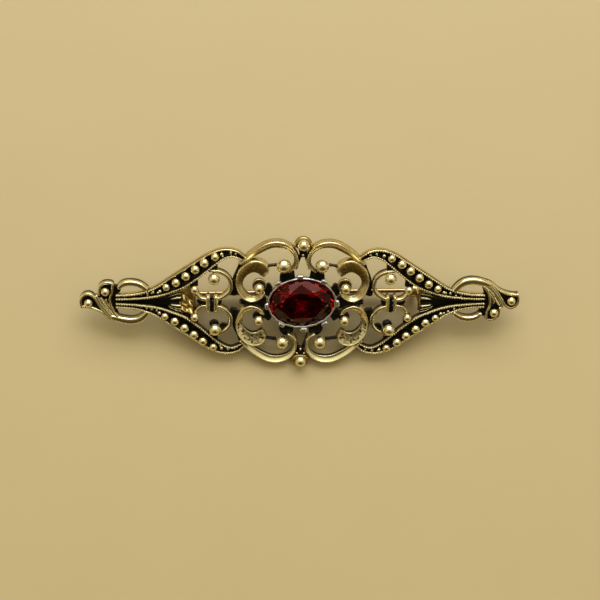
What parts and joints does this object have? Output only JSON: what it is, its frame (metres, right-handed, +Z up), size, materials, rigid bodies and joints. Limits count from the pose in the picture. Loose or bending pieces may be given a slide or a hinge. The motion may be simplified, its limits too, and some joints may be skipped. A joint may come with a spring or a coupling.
{
  "type": "bar brooch with an oval stone",
  "caption": "Openwork bar brooch with scrolls, bead rows and leaf ends, an oval faceted stone in a tabbed setting, and a hinged pin stem with an open catch on its back.",
  "frame": {"origin": "on the table, under the middle of the brooch as it lies on its lower scrolls and its pin joint", "axes": "+X along the bar towards the catch's end, +Y towards the top of the face, +Z up from the table"},
  "size_m": [0.064, 0.0182, 0.0104],
  "materials": {
    "antique_gold": "antique gold plate, dark in its recesses",
    "silver": "bright white metal",
    "red_stone": "polished facets",
    "pin_metal": "satin"
  },
  "bodies": {
    "brooch": {"filigree_frame": "antique_gold", "stone_setting": "silver", "stone": "red_stone", "pin_joint": "antique_gold", "joint_rivet": "antique_gold", "pin_catch": "antique_gold"},
    "stem": {"pin_stem": "pin_metal"}
  },
  "joints": [
    {"name": "stem_hinge", "type": "hinge", "parent": "brooch", "child": "stem", "pos_m": [-0.0166, 0.00148, 0.00128], "axis": [0, 0.8911, 0.4538], "range_deg": [0, 110]}
  ]
}
